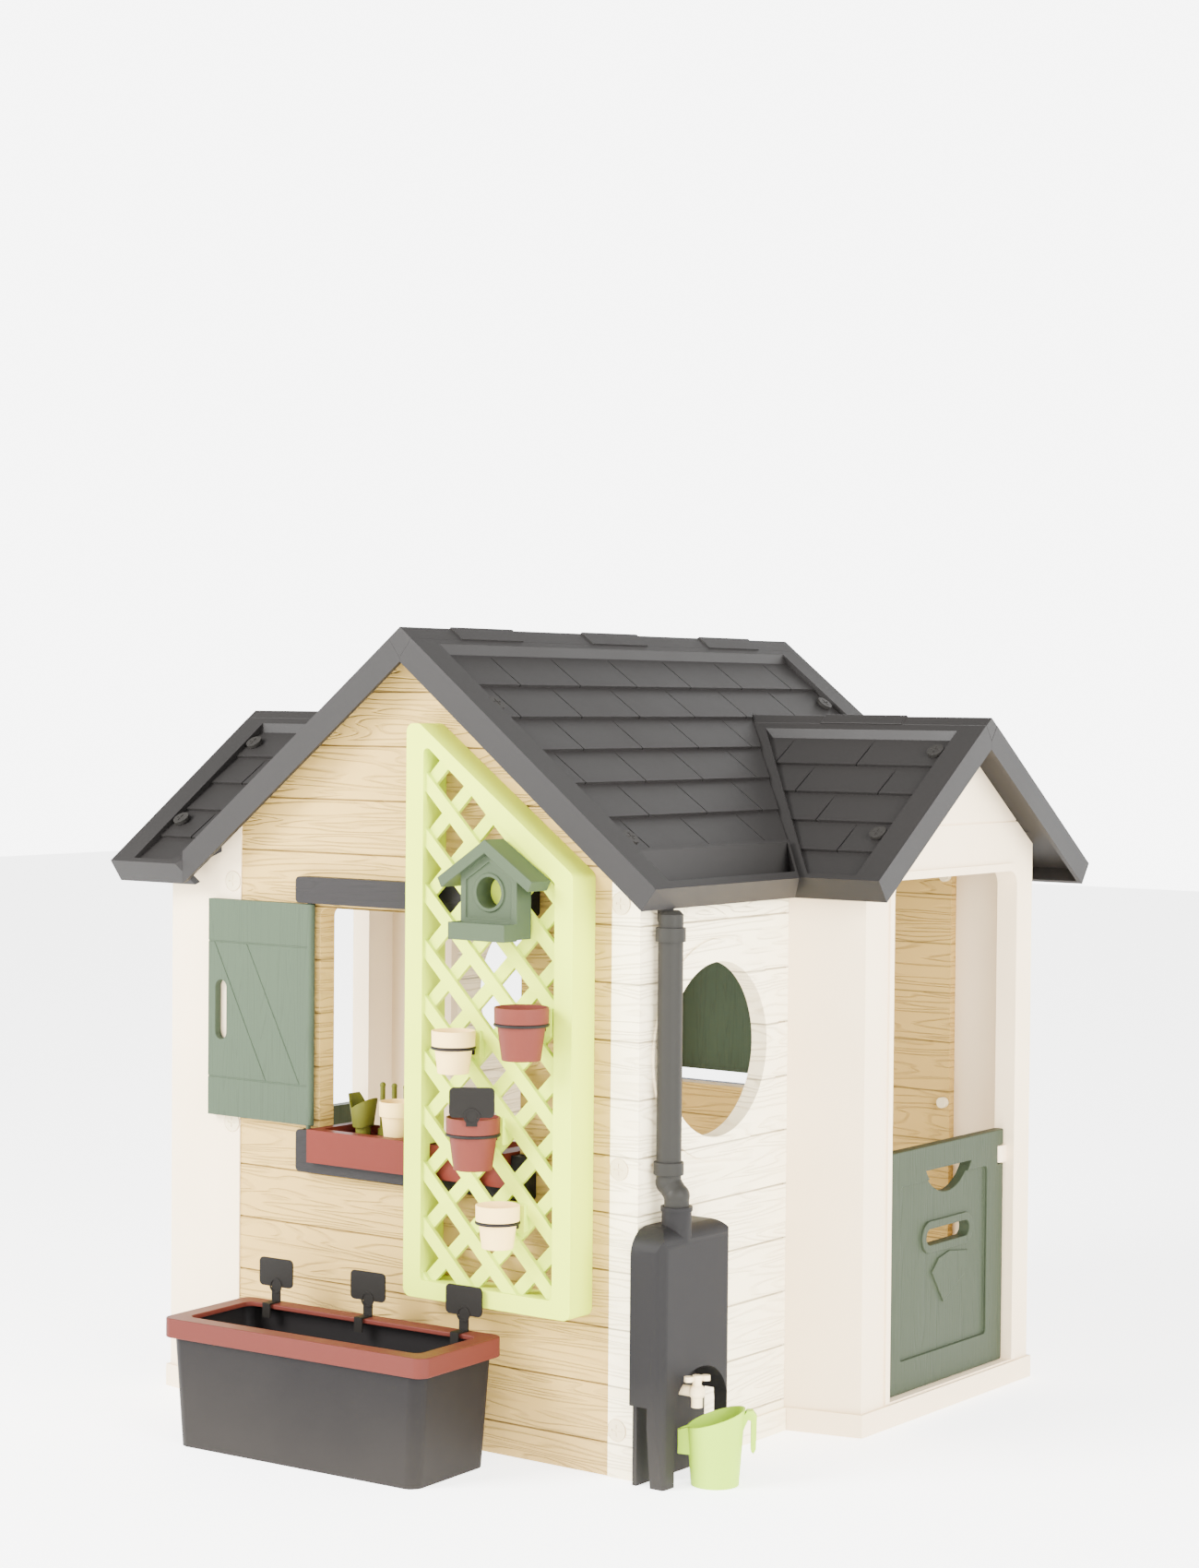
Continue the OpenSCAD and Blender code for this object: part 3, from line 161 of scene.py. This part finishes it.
sky = Finish("studio_sky", "worlds", "Background", Strength=7.2)
lift = sky.node("ShaderNodeSeparateXYZ", {}, {0: sky.node("ShaderNodeTexCoord")}, 2)
sky.feed("Color", sky.mix(sky.fade(lift, 0.28, 0.52), white, dim))
bpy.context.scene.world = sky.stuff
for name, spot, target, lamp_size, watts in (
        ("key", (-2.2, -4.6, 3.6), (0, 0, 0.7), 2.6, 1150),
        ("fill", (4.6, -1.6, 2.2), (0.4, 0, 0.6), 3.0, 560)):
    lamp = bpy.data.objects.new(name, bpy.data.lights.new(name, "AREA"))
    lamp.data.size = lamp_size
    lamp.data.energy = watts
    lamp.location = spot
    lamp.rotation_euler = (Vector(target) - Vector(spot)).to_track_quat("-Z", "Y").to_euler()
    bpy.context.scene.collection.objects.link(lamp)

# The two gable walls are blow-moulded in warm beige plastic with a faint wood grain pressed
# into every plank. Their edges come out of the mould slightly rounded.
plank_height, first_joint = 0.0915, 0.0535
plank_grain = (2.4, 2.4, 30.0)
# Half widths of the dark line of painted shade laid along each plank seam: fully dark, then faded
# out.
groove_shade_core, groove_shade_end = 0.009, 0.022
splash_top = 0.24
contours, contour_end, contour_height = 11.0, 0.22, 3.0
pebble_height, relief_depth = 0.12, 0.0012
weld_gap, flat_angle = 2e-5, radians(0.8)


def moulding(node, finish, edge=0.0016, steps=2, angle=26, crease=40):
    """The CAD node with the soft edges of a moulding, riding on its own body."""
    source = frame["nodes"][node]
    mesh = source.data.copy()
    mesh.name = node + "_moulding"
    body = bmesh.new()
    body.from_mesh(mesh)
    bmesh.ops.remove_doubles(body, verts=body.verts, dist=weld_gap)
    bmesh.ops.dissolve_limit(body, angle_limit=flat_angle, verts=body.verts, edges=body.edges)
    body.to_mesh(mesh)
    body.free()
    mesh.materials.clear()
    mesh.materials.append(finish.stuff)
    mesh.shade_smooth()
    mesh.set_sharp_from_angle(angle=radians(crease))
    piece = bpy.data.objects.new(node + "_moulding", mesh)
    bpy.context.scene.collection.objects.link(piece)
    soft = piece.modifiers.new("mould_radius", "BEVEL")
    soft.width = edge
    soft.segments = steps
    soft.limit_method = "ANGLE"
    soft.angle_limit = radians(angle)
    soft.harden_normals = True
    soft.use_clamp_overlap = True
    even = piece.modifiers.new("even_faces", "WEIGHTED_NORMAL")
    even.keep_sharp = True
    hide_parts(node)
    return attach(piece, source["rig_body"])


def plastic(name, low, high, grain=None, step=1.0, deep=0.5, matt=0.5, dusty=0.0, gloss=0.08):
    """Moulded plastic: a clouded pigment, a pebbled skin and, where it imitates wood, the fine
    contour lines of pressed grain. grain is its stretch in X, Y and Z, step the board height, along
    whose seams a dark line of painted shade is laid, and dusty how much ground dust shows near the
    floor."""
    made = Finish(name, Specular_IOR_Level=gloss)
    place = made.node("ShaderNodeTexCoord", out=3)
    height = made.node("ShaderNodeSeparateXYZ", {}, {0: place}, 2)
    cloud = made.node("ShaderNodeTexNoise", {}, {"Vector": place, "Scale": 5.0, "Detail": 3.0})
    pebble = made.node("ShaderNodeTexNoise", {}, {"Vector": place, "Scale": 420.0, "Detail": 2.0})
    relief = pebble * pebble_height
    shade = cloud
    if grain:
        board = floor((height - first_joint) / step)
        drift = made.node("ShaderNodeCombineXYZ", {}, {0: board * 3.17, 1: board * 1.31})
        run = made.node("ShaderNodeVectorMath", {"operation": "MULTIPLY"}, {0: place, 1: grain})
        run = made.node("ShaderNodeVectorMath", {"operation": "ADD"}, {0: run, 1: drift})
        swirl = made.node("ShaderNodeTexNoise", {}, {"Vector": run, "Scale": 1.0, "Detail": 1.4,
                                                     "Roughness": 0.4, "Distortion": 0.5})
        thread = abs((swirl * contours) % 1.0 - 0.5)
        line = made.fade(thread, 0.0, contour_end, {"interpolation_type": "SMOOTHSTEP"})
        relief = relief + line * contour_height
        shade = cloud * 0.35 + line * 0.6
    colour = made.mix(shade, dye(*low), dye(*high))
    # Along each plank seam a dark line of painted shade is laid, where the groove would lie in
    # shade.
    if step < 1:
        seam = abs(((height - first_joint) / step + 0.5) % 1.0 - 0.5)
        colour = made.mix(made.fade(seam, groove_shade_core, groove_shade_end), dye(*low, 0.5), colour)
    if dusty:
        splash = made.node("ShaderNodeMapRange", {}, {0: height + cloud * 0.12, 1: 0.0,
                                                      2: splash_top, 3: dusty, 4: 0.0})
        colour = made.mix(splash, colour, dye(176, 166, 148))
    made.feed("Base Color", colour)
    made.feed("Roughness", cloud * 0.16 + matt)
    made.feed("Normal", made.node("ShaderNodeBump", {}, {"Strength": deep, "Distance": relief_depth,
                                                         "Height": relief}))
    return made


warm_beige = plastic("warm_beige_planks", (173, 143, 80), (184, 152, 86),
                     grain=plank_grain, step=plank_height, deep=0.7, matt=0.46, dusty=0.1)
for wall in ("front_wall", "back_wall"):
    moulding(wall, warm_beige, 0.0011)

# The side walls are cream panels with the same planks, a raised ring around the round window
# and wide posts moulded on at the corners. The porches are the same cream, without planks.
cream_planks = plastic("cream_planks", (236, 220, 182), (248, 234, 198),
                       grain=plank_grain, step=plank_height, deep=0.6, matt=0.44, dusty=0.06)
cream_skin = plastic("cream_skin", (226, 204, 168), (238, 218, 184),
                     deep=0.3, matt=0.44, dusty=0.06)
for hand in ("right", "left"):
    moulding(hand + "_window_wall", cream_planks, 0.0018)
    moulding(hand + "_porch_wall", cream_skin, 0.0018)

# The roof is smooth twin-skin plastic in one dark grey, moulded as rows of shingles inside
# plain borders. The gutter trough and the ridge caps are the same plastic. Its panels are
# flat, so every face that turns by more than roof_crease stays sharp.
roof_crease = 1.5
roof_grey = plastic("roof_grey", (31, 30, 29), (34, 32, 31), deep=0.3, matt=0.38, gloss=0.12)
for panel in ("right_main_roof", "left_main_roof", "main_ridge_cap"):
    moulding(panel, roof_grey, 0.0014, crease=roof_crease)
for panel in ("near_slope", "far_slope", "cap"):
    moulding("right_dormer_" + panel, roof_grey, 0.0014, crease=roof_crease)
    moulding("left_dormer_" + panel, roof_grey, 0.0014, crease=roof_crease)

# Lintels and sills are grey mouldings on the gable walls. They carry the pins of the shutters,
# which are sage boards with a diagonal brace and a hand slot. The front tray is clay red.
bar_grain, upright_grain = (3.0, 40.0, 40.0), (40.0, 40.0, 2.0)
warm_grey = plastic("warm_grey_trim", (31, 30, 29), (34, 32, 32),
                    grain=bar_grain, deep=0.12, matt=0.42)
for bar in ("front_lintel", "back_lintel", "front_sill", "back_sill"):
    moulding(bar, warm_grey, 0.0025, steps=3)
sage_board = plastic("sage_boards", (54, 64, 50), (58, 69, 54),
                     grain=upright_grain, deep=0.12, matt=0.42)
for leaf in ("front_shutter", "back_shutter_left", "back_shutter_right"):
    moulding(leaf, sage_board, 0.0014)
clay_plastic = plastic("clay_red_plastic", (82, 32, 24), (88, 35, 27), deep=0.25, matt=0.4)
moulding("window_tray", clay_plastic, 0.003, steps=3)

# The half doors turn on pins in the far jamb. They are sage panels with a sunken field, a
# peep hole under the top rail and a letter slot in a raised ring.
door_sage = plastic("sage_door", (45, 52, 38), (49, 56, 41),
                    grain=upright_grain, deep=0.12, matt=0.42)
for leaf in ("right_half_door", "left_half_door"):
    moulding(leaf, door_sage, 0.0022)

# The trellis is one lime-green moulding of a frame and crossing slats, hooked on the front
# wall, with a sage birdhouse on its upper plate.
lime_skin = plastic("lime_trellis", (190, 209, 52), (203, 223, 57), deep=0.25, matt=0.4)
moulding("trellis", lime_skin, 0.0016)
birdhouse_sage = plastic("sage_birdhouse", (54, 64, 47), (58, 69, 50), deep=0.3, matt=0.42)
moulding("birdhouse", birdhouse_sage, 0.0018)

# Flower pots are thin mouldings with a rim band that rests on a grey ring. The name plate
# hooks over the rim of the lower red pot. Round pieces have many narrow faces, so only edges
# sharper than round_angle are softened on them.
round_angle = 35
pot_red = plastic("pot_red", (86, 40, 32), (92, 43, 34), deep=0.25, matt=0.42)
pot_cream = plastic("pot_cream", (230, 195, 124), (245, 208, 133), deep=0.25, matt=0.42)
ring_grey = plastic("ring_grey", (24, 22, 20), (34, 31, 29), deep=0.2, matt=0.4)
plate_grey = plastic("plate_grey", (22, 20, 18), (25, 23, 20), deep=0.3, matt=0.45)
for place in ("upper", "lower"):
    moulding("red_pot_" + place, pot_red, 0.0006, angle=round_angle)
    moulding("cream_pot_" + place, pot_cream, 0.0006, angle=round_angle)
    moulding("red_ring_" + place, ring_grey, 0.0005, steps=1, angle=round_angle)
    moulding("cream_ring_" + place, ring_grey, 0.0005, steps=1, angle=round_angle)
moulding("pot_label", plate_grey, 0.0005)

# The planter stands free in front of the house. It is a dark grey tub under a clay-red rim,
# and three name plates hook over the rim.
tub_dark = plastic("tub_dark_grey", (21, 19, 19), (23, 21, 21), deep=0.35, matt=0.45, dusty=0.03)
rim_red = plastic("rim_clay_red", (76, 34, 28), (81, 37, 30), deep=0.3, matt=0.42)
moulding("planter_tub", tub_dark, 0.0012)
moulding("planter_rim", rim_red, 0.003, steps=3)
for place in ("left", "middle", "right"):
    moulding("planter_label_" + place, plate_grey, 0.0005)

# The rain system: a downpipe between two elbows leads from the gutter to a dark tank with
# a cream tap, and a lime can stands under it.
pipe_grey = plastic("pipe_grey", (35, 34, 31), (38, 37, 34), deep=0.2, matt=0.38)
tank_dark = plastic("tank_dark_grey", (25, 24, 24), (28, 27, 27), deep=0.45, matt=0.45, dusty=0.04)
for part in ("downpipe", "upper_elbow", "lower_elbow"):
    moulding(part, pipe_grey, 0.0012, angle=round_angle)
moulding("rain_tank", tank_dark, 0.011, steps=5)
tap_cream = plastic("tap_cream", (216, 196, 150), (236, 214, 170), deep=0.2, matt=0.38)
moulding("tap_body", tap_cream, 0.0008, angle=round_angle)
moulding("tap_handle", tap_cream, 0.0008, angle=round_angle)
can_lime = plastic("lime_can", (148, 182, 40), (158, 194, 44), deep=0.25, matt=0.38)
moulding("watering_can", can_lime, 0.001, angle=round_angle)

# The trowel and the hand rake are green toy tools that stand in the front tray, beside a
# small cream pot.
tool_green = plastic("tool_green", (74, 74, 22), (92, 92, 34), deep=0.25, matt=0.42)
moulding("trowel", tool_green, 0.0008, angle=round_angle)
moulding("hand_rake", tool_green, 0.0012, angle=round_angle)
moulding("window_pot", pot_cream, 0.0006, angle=round_angle)

# Cream screws hold the walls at the corners, with cream nuts inside, and grey screws hold
# the roof panels.
screw_cream = plastic("screw_cream", (206, 190, 152), (222, 206, 168), deep=0.2, matt=0.35)
screw_grey = plastic("screw_grey", (30, 29, 27), (42, 40, 38), deep=0.2, matt=0.35)
moulding("corner_screws", screw_cream, 0.0006, angle=round_angle)
moulding("corner_nuts", screw_cream, 0.0006, angle=round_angle)
moulding("roof_screws", screw_grey, 0.0006, angle=round_angle)
